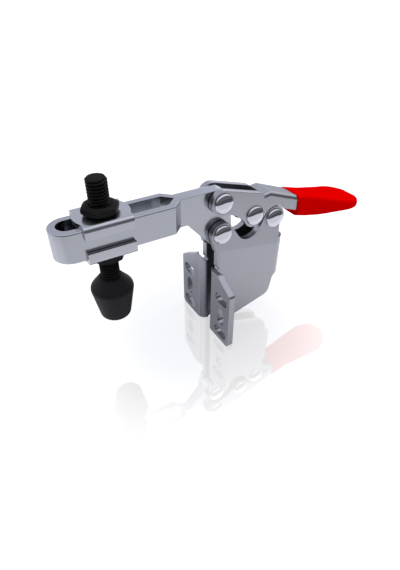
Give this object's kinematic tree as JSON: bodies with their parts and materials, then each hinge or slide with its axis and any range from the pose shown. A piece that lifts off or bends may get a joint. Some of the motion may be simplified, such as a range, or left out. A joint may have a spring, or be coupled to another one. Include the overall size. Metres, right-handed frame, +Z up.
{
  "type": "toggle clamp",
  "caption": "Horizontal-handle toggle clamp with a front-mounting flanged base, a slotted arm, a rubber-tipped screw spindle and a dipped handle grip.",
  "frame": {"origin": "centre of the mounting slots, on the flanges' front face and in the clamp's middle plane", "axes": "+X from the mounting face towards the handle, so the arm points to -X; +Y across the clamp, along the pivots; +Z up"},
  "size_m": [0.1562, 0.043, 0.0897],
  "materials": {
    "zinc_plate": "satin bright zinc plate",
    "zinc_plate_arm": "polished bright zinc plate",
    "bright_rivet": "polished",
    "hardened_bush": "plain hardened steel",
    "washer_steel": "satin zinc plate",
    "dark_steel": "black oxide",
    "black_rubber": "matt black rubber",
    "red_grip": "satin red vinyl"
  },
  "bodies": {
    "base": {"base": "zinc_plate", "rivet_c": "bright_rivet", "rivet_d": "bright_rivet"},
    "arm": {"arm": "zinc_plate_arm", "bush_a": "hardened_bush", "bush_d": "hardened_bush"},
    "link": {"link_left": "zinc_plate", "link_right": "zinc_plate", "bush_b": "hardened_bush", "bush_c": "hardened_bush"},
    "handle": {"handle": "zinc_plate", "grip": "red_grip", "rivet_a": "bright_rivet", "rivet_b": "bright_rivet"},
    "carriage": {"upper_washer": "washer_steel", "lower_washer": "washer_steel", "upper_nut": "dark_steel", "lower_nut": "dark_steel"},
    "spindle": {"spindle": "dark_steel", "rubber_tip": "black_rubber"}
  },
  "joints": [
    {"name": "arm_hinge", "type": "hinge", "parent": "base", "child": "arm", "pos_m": [0.0052, 0, 0.0394], "axis": [0, 1, 0], "range_deg": [0, 75]},
    {"name": "link_hinge", "type": "hinge", "parent": "base", "child": "link", "pos_m": [0.0335, 0, 0.04], "axis": [0, 1, 0], "range_deg": [0, 87]},
    {"name": "handle_hinge", "type": "hinge", "parent": "link", "child": "handle", "pos_m": [0.0221, 0, 0.0442], "axis": [0, 1, 0], "range_deg": [-141.3, 0]},
    {"name": "carriage_slide", "type": "slide", "parent": "arm", "child": "carriage", "axis": [1, 0, 0], "range_m": [-0.0125, 0.0165]},
    {"name": "spindle_height", "type": "slide", "parent": "carriage", "child": "spindle", "axis": [0, 0, 1], "range_m": [-0.008, 0.008]}
  ],
  "couplings": [
    {"joint": "link_hinge", "follows": "arm_hinge", "ratio": 1.1579},
    {"joint": "handle_hinge", "follows": "arm_hinge", "ratio": -1.8816}
  ]
}
